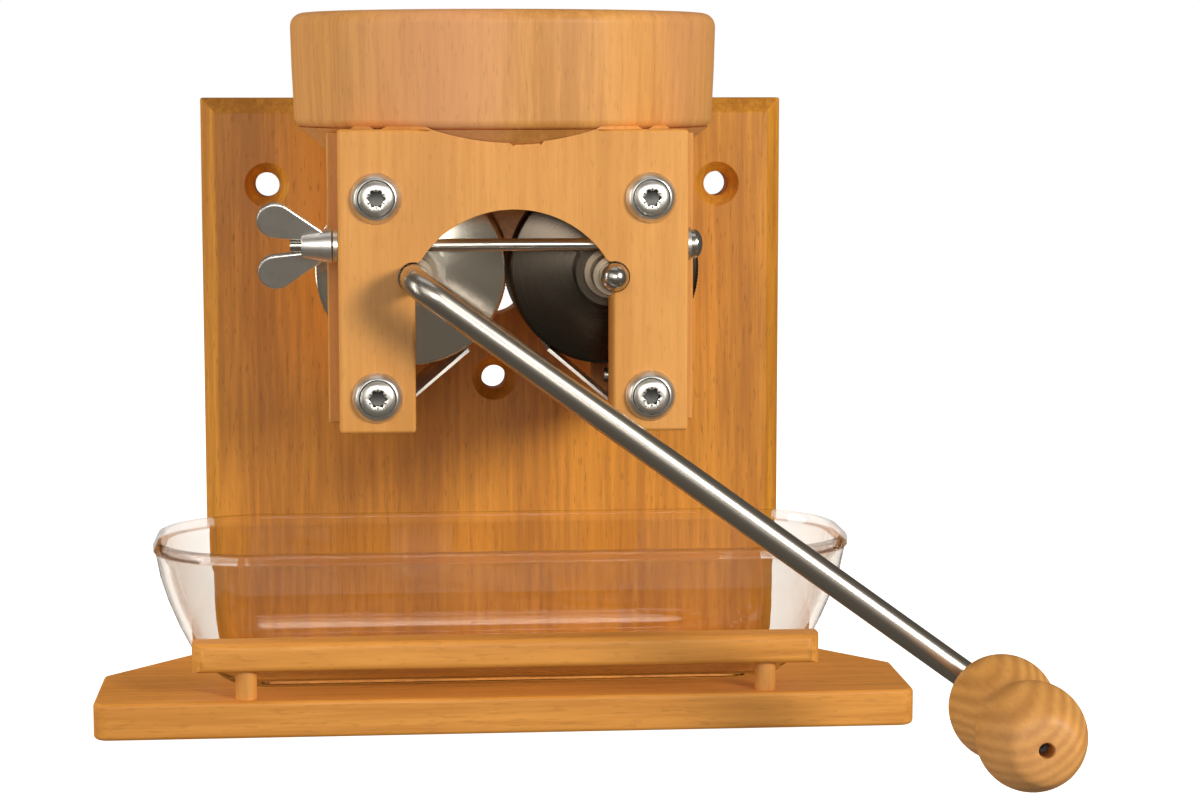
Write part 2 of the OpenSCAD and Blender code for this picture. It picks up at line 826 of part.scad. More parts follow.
module knob() {
    steps = 42;
    color(beech) knob_at() difference() {
        rotate_extrude() polygon(concat(
            [[0, 0]], [for (i = [0:steps]) [knob_radius(knob_len * i / steps), knob_len * i / steps]],
            [[0, knob_len]]
        ));
        translate([0, 0, -cut]) cylinder(h = axle_end + knob_play + cut, r = knob_bore_r + run_gap);
        cylinder(h = knob_len, r = knob_screw_r + 0.2);
        translate([0, 0, knob_len - knob_hole_depth]) cylinder(h = knob_hole_depth + cut, r = knob_screw_head_r + 0.1);
    }
}

module knob_washer() {
    color(steel) knob_at() translate([0, 0, -knob_play / 2 - knob_washer_t]) difference() {
        cylinder(h = knob_washer_t, r = 9);
        translate([0, 0, -cut]) cylinder(h = knob_washer_t + 2 * cut, r = knob_bore_r + 0.2);
    }
}

module knob_screw() {
    head_z = knob_len - knob_hole_depth + knob_play / 2;
    color(dark_steel) knob_at() difference() {
        union() {
            translate([0, 0, head_z - 14]) cylinder(h = 14, r = knob_screw_r);
            translate([0, 0, head_z]) cylinder(h = 2.4, r = knob_screw_head_r);
        }
        translate([0, 0, head_z + 1]) cylinder(h = 2, r = 1.3, $fn = 6);
    }
}

back_board();
base_shelf();
base_screws();
dish_rail();
rail_post_left();
rail_post_right();
front_plate();
rear_plate();
left_cheek();
right_cheek();
left_spacer();
right_spacer();
chute_block();
plate_screws();
cup_washers();
back_screws();
hopper();
glass_dish();
crank_rod();
drive_roller();
drive_collar();
drive_set_screw();
drive_thrust_washers();
drive_circlip();
idler_roller();
idler_shaft();
idler_collar();
idler_set_screw();
idler_thrust_washers();
idler_circlip();
front_left_bush();
front_right_bush();
rear_left_bush();
rear_right_bush();
clamp_bolt();
bolt_washer();
wing_washer();
wing_nut();
left_scraper();
right_scraper();
left_scraper_screws();
right_scraper_screws();
knob();
knob_washer();
knob_screw();
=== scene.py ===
# %% [markdown]
# # A hand-cranked grain flaker
#
# A wooden hopper feeds two steel rollers in an arched beech body on a wall board. A long steel
# crank turns them and the flakes fall into a glass dish. The sizes come from the loaded frame:
# every piece is built where its solid lies, so the crank, the knob and the wing nut still turn.

# %% Load the frame
import json
from math import cos, pi, radians, sin, sqrt

import bmesh
import bpy
from mathutils import Matrix, Vector


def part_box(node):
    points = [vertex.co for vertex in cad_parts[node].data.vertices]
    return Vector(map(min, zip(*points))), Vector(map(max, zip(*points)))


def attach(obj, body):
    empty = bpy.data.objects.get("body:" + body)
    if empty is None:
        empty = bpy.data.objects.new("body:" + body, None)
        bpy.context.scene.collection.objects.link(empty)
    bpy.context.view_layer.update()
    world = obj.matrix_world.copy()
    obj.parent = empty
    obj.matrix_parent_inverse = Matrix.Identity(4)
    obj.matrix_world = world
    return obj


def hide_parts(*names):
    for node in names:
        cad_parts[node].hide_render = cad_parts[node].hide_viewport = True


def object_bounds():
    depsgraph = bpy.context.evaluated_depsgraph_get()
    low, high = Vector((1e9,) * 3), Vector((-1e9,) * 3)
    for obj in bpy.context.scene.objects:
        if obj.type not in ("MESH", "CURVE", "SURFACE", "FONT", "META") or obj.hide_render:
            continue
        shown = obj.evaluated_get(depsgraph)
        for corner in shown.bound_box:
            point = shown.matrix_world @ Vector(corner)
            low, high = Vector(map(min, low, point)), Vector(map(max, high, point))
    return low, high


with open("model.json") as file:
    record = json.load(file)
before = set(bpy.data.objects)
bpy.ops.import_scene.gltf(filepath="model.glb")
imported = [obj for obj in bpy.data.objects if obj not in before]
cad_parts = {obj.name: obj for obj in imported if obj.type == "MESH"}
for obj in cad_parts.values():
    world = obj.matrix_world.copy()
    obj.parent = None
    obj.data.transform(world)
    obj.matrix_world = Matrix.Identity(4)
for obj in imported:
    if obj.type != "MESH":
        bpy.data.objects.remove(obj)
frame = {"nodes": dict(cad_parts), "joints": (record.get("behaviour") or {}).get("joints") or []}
cad_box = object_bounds()
mm = 0.001

# %% [markdown]
# ## Finishing a mesh
#
# Real edges are never perfectly sharp: a plane or a file takes them off, and light catches the
# small round that is left. `round_edges` bevels every edge that turns by more than an angle.
# Short edges are left alone, because they belong to small drilled holes. `finish_piece` then
# shades the faces smooth, keeps the true corners sharp, and hands the piece to its moving body.
# A weighted normal lets the large faces stay flat, so that only the rounds bend the light.
#
# An operator gives back a mixed list of what it made. `verts_of` and `edges_of` sort it.

# %% Helpers for finishing
def verts_of(made):
    return [item for item in made if isinstance(item, bmesh.types.BMVert)]


def edges_of(made):
    return [item for item in made if isinstance(item, bmesh.types.BMEdge)]


def on_box_edge(point, low, high):
    """Whether a point lies on two sides of a box at once."""
    near = 0.01 * mm
    return sum(min(point[i] - low[i], high[i] - point[i]) < near for i in range(3)) > 1


def round_edges(bm, width, segments, turn=28, shortest=0.0, box=None):
    """Bevels the edges that turn by more than an angle, in degrees, or only those of a box."""
    chosen = [e for e in bm.edges if len(e.link_faces) == 2
              and e.calc_face_angle(0) > radians(turn) and e.calc_length() > shortest]
    if box:
        chosen = [e for e in chosen if on_box_edge((e.verts[0].co + e.verts[1].co) / 2, *box)]
    bmesh.ops.bevel(bm, geom=chosen, offset=width, offset_type="OFFSET", segments=segments,
                    profile=0.5, affect="EDGES", clamp_overlap=False, material=-1)


def finish_piece(name, bm, body, material, nodes, turn=35):
    """Makes the object, smooth but for its true corners, and says what it rides on and replaces."""
    for face in bm.faces:
        face.smooth = True
    for edge in bm.edges:
        edge.smooth = len(edge.link_faces) == 2 and edge.calc_face_angle(0) < radians(turn)
    mesh = bpy.data.meshes.new(name)
    bm.to_mesh(mesh)
    bm.free()
    piece = bpy.data.objects.new(name, mesh)
    bpy.context.scene.collection.objects.link(piece)
    mesh.materials.append(material)
    weighted = piece.modifiers.new("flat faces", "WEIGHTED_NORMAL")
    weighted.keep_sharp = True
    weighted.weight = 90
    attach(piece, body)
    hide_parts(*nodes)
    print(f"{name}: {len(mesh.polygons)} faces on {body}")
    return piece


# %% [markdown]
# ## The lathe
#
# The hopper, the knob, the rollers, the washers and the screw heads are all turned. On a lathe
# the tool draws half an outline and the work spins under it. `spin` does the same: the outline
# is a row of vertices, radius across and height up, and one full turn sweeps it round. Pieces
# that lie along the depth are turned upright and then laid down, top to the front.

# %% The lathe
TO_FRONT = Matrix.Rotation(radians(90), 4, "X")


def lathe(outline, place, steps, closed=False):
    """Spins an outline of (radius, height) points about its own axis, and puts it in place."""
    bm = bmesh.new()
    row = [bm.verts.new((r, 0, h)) for r, h in outline]
    pairs = list(zip(row, row[1:])) + ([(row[-1], row[0])] if closed else [])
    edges = [bm.edges.new(pair) for pair in pairs]
    bmesh.ops.spin(bm, geom=row + edges, cent=(0, 0, 0), axis=(0, 0, 1), angle=2 * pi,
                   steps=steps, use_merge=True)
    bmesh.ops.remove_doubles(bm, verts=bm.verts, dist=1e-6)
    bmesh.ops.recalc_face_normals(bm, faces=bm.faces)
    bmesh.ops.transform(bm, matrix=place, verts=bm.verts)
    return bm


def arc(x, y, r, start, end, n=6):
    """Points along part of a circle, with its angles in degrees."""
    angles = [radians(start + (end - start) * i / n) for i in range(n + 1)]
    return [(x + r * cos(a), y + r * sin(a)) for a in angles]


def add_to(bm, other):
    """Joins one bmesh into another."""
    spare = bpy.data.meshes.new("spare")
    other.to_mesh(spare)
    other.free()
    bm.from_mesh(spare)
    bpy.data.meshes.remove(spare)


# %% [markdown]
# ## Sawn pieces
#
# Boards, plates and blocks are flat pieces with holes that their solids already have in the
# right places. Their triangles are loose, so a copy is merged, its flat faces are dissolved
# back into whole ones, and its long edges are rounded as a router or sandpaper would. A face
# with a hole in it can't be one polygon, so it is first cut straight through the hole's middle,
# and the cuts are kept as seams.

# %% Sawn pieces
def sawn(node, width, segments=3, shortest=2.5 * mm, cuts=(), outer=False):
    """A merged copy of a node's solid, cut at (axis, place) planes, with its long edges rounded."""
    bm = bmesh.new()
    bm.from_mesh(frame["nodes"][node].data)
    bmesh.ops.remove_doubles(bm, verts=bm.verts, dist=1e-6)
    for axis, at in cuts:
        normal = Vector([axis == "x", axis == "y", axis == "z"])
        cut = bmesh.ops.bisect_plane(bm, geom=bm.verts[:] + bm.edges[:] + bm.faces[:],
                                     plane_co=normal * at, plane_no=normal)["geom_cut"]
        for edge in edges_of(cut):
            edge.seam = True
    bmesh.ops.dissolve_limit(bm, angle_limit=radians(0.4), verts=bm.verts, edges=bm.edges,
                             delimit={"SEAM"})
    round_edges(bm, width, segments, shortest=shortest, box=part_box(node) if outer else None)
    return bm


# %% [markdown]
# ## Writing materials as sums
#
# A material is a small calculation done at every point of a surface. `Wire` wraps one socket so
# that the calculation can be written as one: `0.3 + 0.2 * grain` makes the two Math nodes itself.
# `Nodes.add` makes any other node from its type, its settings and what goes into its sockets. A
# `Finish` is a material whose nodes end in its one shader, and the sky uses `Nodes` as well.

# %% Sockets that do sums
class Wire:
    """One output socket, with the arithmetic that the finishes use."""

    def __init__(self, nodes, socket):
        self.nodes = nodes
        self.socket = socket

    def __add__(self, other):
        return self.nodes.math("ADD", self, other)

    def __sub__(self, other):
        return self.nodes.math("SUBTRACT", self, other)

    def __rsub__(self, other):
        return self.nodes.math("SUBTRACT", other, self)

    def __mul__(self, other):
        return self.nodes.math("MULTIPLY", self, other)

    __radd__ = __add__
    __rmul__ = __mul__

    def step(self, low, high):
        """0 below low, 1 above high, and smooth between."""
        values = {"Value": self, "From Min": low, "From Max": high}
        return self.nodes.add("ShaderNodeMapRange", values, interpolation_type="SMOOTHSTEP")["Result"]


class Made:
    """A node that was made, whose outputs are read by name or number."""

    def __init__(self, nodes, node):
        self.nodes = nodes
        self.node = node

    def __getitem__(self, name):
        return Wire(self.nodes, self.node.outputs[name])


# %% Nodes
class Nodes:
    """A node tree, with a method for each kind of node that is used often."""

    def __init__(self, tree):
        self.tree = tree

    def add(self, kind, sockets=None, **settings):
        """Any node: its settings first, then a value or a wire for each of its sockets."""
        node = self.tree.nodes.new(kind)
        for name, value in settings.items():
            setattr(node, name, value)
        for name, value in (sockets or {}).items():
            self.join(node.inputs[name], value)
        return Made(self, node)

    def join(self, socket, value):
        if isinstance(value, Wire):
            self.tree.links.new(value.socket, socket)
        else:
            socket.default_value = value

    def math(self, operation, *values):
        return self.add("ShaderNodeMath", dict(enumerate(values)), operation=operation)["Value"]

    def place(self, stretch, at=(0, 0, 0)):
        """Object coordinates from a point, times a stretch along each axis."""
        here = self.add("ShaderNodeTexCoord")["Object"]
        moved = self.add("ShaderNodeVectorMath", {0: here, 1: at}, operation="SUBTRACT")["Vector"]
        values = {0: moved, 1: stretch}
        return self.add("ShaderNodeVectorMath", values, operation="MULTIPLY")["Vector"]

    def noise(self, vector, detail, roughness=0.5):
        values = {"Vector": vector, "Scale": 1.0, "Detail": detail, "Roughness": roughness}
        return self.add("ShaderNodeTexNoise", values)["Fac"]

    def blend(self, share, a, b):
        """Colour a, with a share of colour b. A Mix node's colours are its sockets 6 and 7."""
        values = {"Factor": share, 6: a if isinstance(a, Wire) else (*a, 1),
                  7: b if isinstance(b, Wire) else (*b, 1)}
        return self.add("ShaderNodeMix", values, data_type="RGBA")[2]

    def bump(self, height, strength, distance):
        values = {"Height": height, "Strength": strength, "Distance": distance}
        return self.add("ShaderNodeBump", values)["Normal"]


# %% A finish
class Finish(Nodes):
    """A material and its one Principled shader."""

    def __init__(self, name, **constants):
        self.material = bpy.data.materials.new(name)
        self.material.use_nodes = True
        super().__init__(self.material.node_tree)
        self.shader = self.tree.nodes["Principled BSDF"]
        for socket, value in constants.items():
            self.shader.inputs[socket.replace("_", " ")].default_value = value

    def set(self, **wires):
        """Joins what changes over the surface to the shader."""
        for name, wire in wires.items():
            self.join(self.shader.inputs[name.replace("_", " ")], wire)
        return self.material


# %% [markdown]
# ## Beech
#
# Oiled beech is a warm honey colour. Three things make it beech and not just brown: soft, wide
# bands along the grain, fine fibres, and many short dark flecks, which are the wood's rays seen
# end on. All of them are noise that is stretched along the grain, which runs a different way
# in each piece, so the stretch is the only thing that changes from board to board. The noise
# scales are in features per metre, so a fibre is under a millimetre across and 17 mm long.

# %% Beech
ALONG = {"x": 0, "y": 1, "z": 2}


def darker(colour, share):
    return tuple(channel * share for channel in colour)


def beech(name, grain, light, dark, flecks, pink, offset, rings=None):
    """Beech from two colours, with its shares of flecks and pink, and rings about a centre."""
    finish = Finish(name, IOR=1.42, Coat_Roughness=0.42)

    def stretched(across, along):
        sizes = [across] * 3
        sizes[ALONG[grain]] = along
        return finish.place(sizes, at=(offset, offset * 0.7, offset * 0.3))

    bands = finish.noise(stretched(across=30, along=2.2), detail=3, roughness=0.55)
    patches = finish.noise(stretched(across=11, along=3), detail=1)
    fibres = finish.noise(stretched(across=1500, along=60), detail=2, roughness=0.6)
    streaks = finish.noise(stretched(across=340, along=16), detail=4, roughness=0.65)
    rays = finish.noise(stretched(across=900, along=150), detail=1).step(0.60, 0.72)
    tone = (0.5 * bands + 0.5 * streaks).step(0.36, 0.64)
    if rings:
        spread = finish.noise(finish.place((42, 20, 42)), detail=2)
        across = finish.place((1, 0.12, 1), at=rings)
        radius = finish.add("ShaderNodeVectorMath", {0: across}, operation="LENGTH")["Value"]
        # In radians per metre: a growth ring every 1.85 mm.
        ring_rate = 3400
        grown = finish.math("SINE", ring_rate * radius + 5 * spread)
        tone = 0.4 * tone + (0.3 + 0.3 * grown)
    wood = finish.blend(tone, dark, light)
    rosy = (0.78, 0.36, 0.17)
    wood = finish.blend(pink * patches.step(0.48, 0.72), wood, rosy)
    wood = finish.blend(0.16 * fibres.step(0.4, 0.7), wood, dark)
    wood = finish.blend(0.34 * flecks * rays, wood, darker(dark, 0.5))
    height = fibres * 0.5 - rays * (0.6 * flecks) + streaks * 0.3
    return finish.set(Base_Color=wood, Roughness=0.46 + 0.14 * fibres + 0.08 * rays,
                      Coat_Weight=0.04 + 0.08 * streaks,
                      Normal=finish.bump(height, 0.3, 0.0002))


board_wood = beech("beech board", "z", (0.80, 0.335, 0.026), (0.50, 0.185, 0.011), 1.0, 0.03, 0.13)
body_wood = beech("beech body", "z", (0.81, 0.37, 0.078), (0.67, 0.285, 0.05), 0.5, 0.3, 0.31)
base_wood = beech("beech base", "x", (0.84, 0.36, 0.058), (0.62, 0.235, 0.028), 0.6, 0.1, 0.57)
block_wood = beech("beech block", "y", (0.66, 0.31, 0.08), (0.46, 0.19, 0.04), 0.8, 0.2, 0.83)
print("woods:", [m.name for m in (board_wood, body_wood, base_wood, block_wood)])

# %% [markdown]
# ## The board, the base and the rail
#
# These are the sawn pieces. The board's front edges are already bevelled, so they only need the
# sharpness taken off. The base and the rail are handled often and are rounded more. The plates
# and cheeks are cut to fit the rollers and the hopper, so their edges stay nearly crisp.

# %% The board, the base and the rail
hole_x, hole_z = 91.5 * mm, 203 * mm
low_hole_z, sight_z = 123.8 * mm, 163 * mm
board_cuts = [("x", x) for x in (0, hole_x, -hole_x)] + [("z", z) for z in (hole_z, low_hole_z, sight_z)]
finish_piece("wall_board", sawn("back_board", 0.7 * mm, cuts=board_cuts), "stand", board_wood,
             ["back_board"])
post_x, post_y = 98.5 * mm, -98 * mm
base_cuts = [("x", post_x), ("x", -post_x), ("y", post_y)]
base = sawn("base_shelf", 1.6 * mm, 4, shortest=1 * mm, cuts=base_cuts)
finish_piece("base_plank", base, "stand", base_wood, ["base_shelf"])
finish_piece("rail_bar", sawn("dish_rail", 0.8 * mm, 3, shortest=1.5 * mm), "stand", base_wood,
             ["dish_rail"])
for side in ("left", "right"):
    post = f"rail_post_{side}"
    finish_piece(f"{post}_dowel", sawn(post, 0.3 * mm, 2, shortest=0), "stand", body_wood,
                 [post])

# %% [markdown]
# ## The arched body
#
# The front plate is one board with an arch sawn out of it, and the cheeks are slotted so that the
# rollers stand out. The cuts go through the middles of the screw holes, the slots and the bolt's
# hole. Only the outer edges of the cheeks are rounded, because their slots are cut crisp.

# %% The arched body
cup_r = 9 * mm
cups_low, cups_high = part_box("cup_washers")
screw_x = (cups_low.x + cup_r, cups_high.x - cup_r)
screw_z = (cups_low.z + cup_r, cups_high.z - cup_r)
plate_cuts = [("x", x) for x in screw_x] + [("z", z) for z in screw_z]
finish_piece("arched_front", sawn("front_plate", 1.3 * mm, cuts=plate_cuts), "stand", body_wood,
             ["front_plate"])
finish_piece("arched_rear", sawn("rear_plate", 0.8 * mm, outer=True), "stand", body_wood,
             ["rear_plate"])
finish_piece("chute", sawn("chute_block", 0.4 * mm, 2), "stand", block_wood, ["chute_block"])
axle_z, nip_y = 176 * mm, -86 * mm
bolt_y, bolt_z = -143 * mm, 187 * mm
cheek_cuts = [("y", nip_y), ("z", axle_z), ("y", bolt_y), ("z", bolt_z)]
for side in ("left", "right"):
    for block, cuts in ((f"{side}_cheek", cheek_cuts), (f"{side}_spacer", ())):
        finish_piece(f"{block}_wood", sawn(block, 0.9 * mm, cuts=cuts, outer=True), "stand", body_wood,
                     [block])

# %% [markdown]
# ## The hopper
#
# The hopper is turned from a glued block, so its grain runs straight up while its surface is
# round: the bands show as soft upright stripes of honey and pink. Its rim is well rounded, its
# side tapers a little, and its underside is the cone that sits in the body.

# %% The hopper
low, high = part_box("hopper")
hopper_at = (low + high) / 2
hopper_r = (high.x - low.x) / 2
wall = 9 * mm
spout_r = 13 * mm
inner = hopper_r - wall
seat_in, seat_slope = 2.5 * mm, 11.8 * mm
seat_r = hopper_r - seat_in
seat_low_r = seat_r - seat_slope
top = high.z - low.z
ring = top - 42 * mm
half_way = ring + 22 * mm
foot, foot_taper = 3.5 * mm, 1.2 * mm
rim_out, rim_in = 5 * mm, 3 * mm
belly = 12 * mm
hopper_outline = (
    [(spout_r, 0), (seat_low_r, 0), (seat_r, ring)]
    + arc(hopper_r - foot_taper - foot, ring + foot, foot, 270, 360)
    + [(hopper_r - 0.4 * mm, half_way)]
    + arc(hopper_r - rim_out, top - rim_out, rim_out, 0, 90, 8)
    + arc(inner + rim_in, top - rim_in, rim_in, 90, 180)
    + [(inner - 1 * mm, half_way)]
    + arc(inner - 1 * mm - belly, half_way + 2 * mm, belly, 0, -55, 8)
    + [(spout_r + 1.5 * mm, 8.2 * mm), (spout_r, 6.7 * mm)]
)
hopper_wood = beech("beech hopper", "z", (0.79, 0.37, 0.095), (0.58, 0.25, 0.055), 0.5, 0.9, 0.44)
hopper_place = Matrix.Translation((hopper_at.x, hopper_at.y, low.z))
hopper = lathe(hopper_outline, hopper_place, 160, closed=True)
finish_piece("turned_hopper", hopper, "hopper", hopper_wood, ["hopper"])

# %% [markdown]
# ## The knob
#
# The knob is a spindle with two lobes and a waist for the fingers. A cosine along its length
# gives both lobes and the waist in one line, and a quarter ellipse rounds each end. It is
# turned on its side, along the crank's axle, with a small hole for the screw in its front face.

# %% The knob
low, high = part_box("knob")
knob_len = high.y - low.y
knob_r = (high.x - low.x) / 2
waist_r = 13.5 * mm
end_round = 8 * mm
screw_hole_r = 2.6 * mm
screw_hole_depth = 10.8 * mm


def knob_radius(s):
    """The knob's radius at a distance s from its back."""
    mean = (knob_r + waist_r) / 2
    swing = (knob_r - waist_r) / 2
    inside = min(s, knob_len - s)
    cap = sqrt(max(0.0, 1 - (1 - inside / end_round) ** 2)) if inside < end_round else 1.0
    return (mean - swing * cos(4 * pi * s / knob_len)) * (0.66 + 0.34 * cap)


bore_r = 4.1 * mm
thread_r = 1.7 * mm
hole_floor = knob_len - screw_hole_depth
bore_end = hole_floor - 3.4 * mm
lip = 0.4 * mm
stations = [knob_len * i / 64 for i in range(65)]
knob_outline = (
    [(bore_r, 0)] + [(knob_radius(s) - 0.02 * mm, s) for s in stations]
    + [(screw_hole_r + lip, knob_len), (screw_hole_r, knob_len - lip), (screw_hole_r, hole_floor),
       (thread_r, hole_floor), (thread_r, bore_end), (bore_r, bore_end)]
)
along_knob = Matrix.Translation(((low.x + high.x) / 2, high.y, (low.z + high.z) / 2)) @ TO_FRONT
ring_centre = ((low.x + high.x) / 2 - 9 * mm, 0, (low.z + high.z) / 2 + 14 * mm)
knob_wood = beech("beech knob", "y", (0.78, 0.38, 0.095), (0.52, 0.225, 0.045), 0.3, 0.3, 0.71,
                  rings=ring_centre)
finish_piece("turned_knob", lathe(knob_outline, along_knob, 128, closed=True), "knob", knob_wood,
             ["knob"])

# %% [markdown]
# ## Steel
#
# Three steels are used. The crank is drawn bar: satin, with fine lines along it. Rollers and
# collars are turned, so their faces carry faint rings round the shaft. Screws and the nut are
# pressed and tumbled. Rings come from noise read along the radius only, and lines from noise
# that is stretched; both go to the roughness and to a very fine bump.

# %% Steel
def plain_steel(name, colour, rough):
    finish = Finish(name, Metallic=1.0)
    cloud = finish.noise(finish.place((90, 90, 90)), detail=3)
    speck = finish.noise(finish.place((1400, 1400, 1400)), detail=2)
    return finish.set(Base_Color=finish.blend(cloud.step(0.35, 0.7), colour, darker(colour, 0.8)),
                      Roughness=rough + 0.12 * cloud + 0.05 * speck,
                      Normal=finish.bump(speck, 0.06, 0.00006))


def turned_steel(name, centre, colour, rough):
    finish = Finish(name, Metallic=1.0)
    across = finish.place((1, 0, 1), at=(centre[0], 0, centre[2]))
    radius = finish.add("ShaderNodeVectorMath", {0: across}, operation="LENGTH")["Value"]
    rings = finish.add("ShaderNodeTexNoise", {"W": radius, "Scale": 5200, "Detail": 2},
                       noise_dimensions="1D")["Fac"]
    smear = finish.noise(finish.place((60, 60, 60)), detail=3)
    return finish.set(Base_Color=finish.blend(0.5 * smear, colour, darker(colour, 0.8)),
                      Roughness=rough + 0.14 * rings + 0.04 * smear,
                      Normal=finish.bump(rings, 0.06, 0.00002))


def drawn_steel(name, direction, colour=(0.60, 0.565, 0.52), rough=0.19):
    finish = Finish(name, Metallic=1.0)
    turned = finish.add("ShaderNodeMapping", {"Vector": finish.place((1, 1, 1)),
                                              "Rotation": (0, direction, 0)})["Vector"]
    values = {0: turned, 1: (6, 900, 900)}
    stretched = finish.add("ShaderNodeVectorMath", values, operation="MULTIPLY")["Vector"]
    lines = finish.noise(stretched, detail=3)
    smear = finish.noise(finish.place((45, 45, 45)), detail=2)
    return finish.set(Base_Color=finish.blend(0.6 * smear, colour, darker(colour, 0.78)),
                      Roughness=rough + 0.12 * lines + 0.06 * smear,
                      Normal=finish.bump(lines, 0.05, 0.00004))


joints = {joint["name"]: joint for joint in frame["joints"]}
drive_at = joints["crank_turn"]["pos_m"]
idler_at = joints["idler_turn"]["pos_m"]
knob_at = joints["knob_spin"]["pos_m"]
# The two rollers are one steel: the drive roller's pale cream colour is a painted highlight and the idler's
# near-black colour is painted shade, and their collars carry the same.
drive_steel_painted_highlight = turned_steel("drive roller steel painted highlight", drive_at, (0.86, 0.81, 0.72), 0.07)
idler_steel_painted_shade = turned_steel("idler roller steel painted shade", idler_at, (0.075, 0.062, 0.05), 0.16)
screw_steel = plain_steel("screw steel", (0.86, 0.85, 0.82), 0.27)
nut_steel = plain_steel("wing nut steel", (0.9, 0.89, 0.87), 0.27)
# Blackened steel for the set screws, circlips and knob screw; the same dark steel also paints shade into
# the screw sockets.
blackened_steel_and_socket_shade = plain_steel("blackened steel", (0.10, 0.10, 0.10), 0.35)
bronze = plain_steel("oiled bronze", (0.26, 0.21, 0.16), 0.34)
print("drive shaft at", [round(v, 4) for v in drive_at])

# %% [markdown]
# ## The rollers
#
# The rollers are cut with fine flutes along their length, which grip the grain: every second
# column of the spun surface is drawn in a little. Their end faces are turned very slightly
# conical, so the light splits across them, bright above the shaft and dark below it.

# %% The rollers
FLUTES = 180
flute_depth = 0.28 * mm
cone = 2.4 * mm
hub_r = 13 * mm
edge_in, edge_back = 1.6 * mm, 1.2 * mm
roller_bore = 5.02 * mm


def fluted_roller(node, body, centre, material):
    low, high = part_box(node)
    r = (high.x - low.x) / 2
    length = high.y - low.y
    half = [(roller_bore, 0), (hub_r, 0), (r - edge_in, cone), (r, cone + edge_back)]
    outline = half + [(across, length - up) for across, up in reversed(half)]
    bm = lathe(outline, Matrix.Identity(4), FLUTES * 2, closed=True)
    for vert in bm.verts:
        radius = sqrt(vert.co.x ** 2 + vert.co.y ** 2)
        if radius > r - 0.1 * mm:
            turn = Vector((1, 0)).angle_signed(vert.co.xy) * FLUTES / pi
            if round(turn) % 2:
                vert.co.xy *= (r - flute_depth) / r
    place = Matrix.Translation((centre[0], high.y, centre[2])) @ TO_FRONT
    bmesh.ops.transform(bm, matrix=place, verts=bm.verts)
    finish_piece(f"fluted_{node}", bm, body, material, [node])


fluted_roller("drive_roller", "crank", drive_at, drive_steel_painted_highlight)
fluted_roller("idler_roller", "idler", idler_at, idler_steel_painted_shade)

# %% [markdown]
# ## The collars and the idler's shaft
#
# The collars keep their stepped solids and only lose their sharp corners. The idler's shaft ends
# in a dome at the front, where it comes out beside the arch.

# %% The collars and the idler's shaft
collars = (("drive_collar", "crank", drive_steel_painted_highlight), ("idler_collar", "idler", idler_steel_painted_shade))
for node, body, material in collars:
    collar = sawn(node, 0.35 * mm, 2, shortest=0.9 * mm)
    finish_piece(f"{node}_turned", collar, body, material, [node])
low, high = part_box("idler_shaft")
shaft_r = 5 * mm
shaft_edge = 0.6 * mm
shaft_len = high.y - low.y
shaft_outline = (
    [(0, 0)] + arc(shaft_r - shaft_edge, shaft_edge, shaft_edge, 270, 360, 3)
    + arc(0, shaft_len - shaft_r, shaft_r, 0, 90, 10)
)
shaft_place = Matrix.Translation((idler_at[0], high.y, idler_at[2])) @ TO_FRONT
shaft_steel = plain_steel("shaft steel", (0.56, 0.54, 0.51), 0.14)
finish_piece("idler_shaft_domed", lathe(shaft_outline, shaft_place, 64), "idler", shaft_steel,
             ["idler_shaft"])

# %% [markdown]
# ## The crank
#
# The crank is one bar, bent twice. A ring of edges is drawn along the shaft, spun through a
# quarter turn for each bend, and drawn along the arm and the knob's axle: the same steps as
# bending it over a former. It is made flat and then turned to the angle it hangs at.

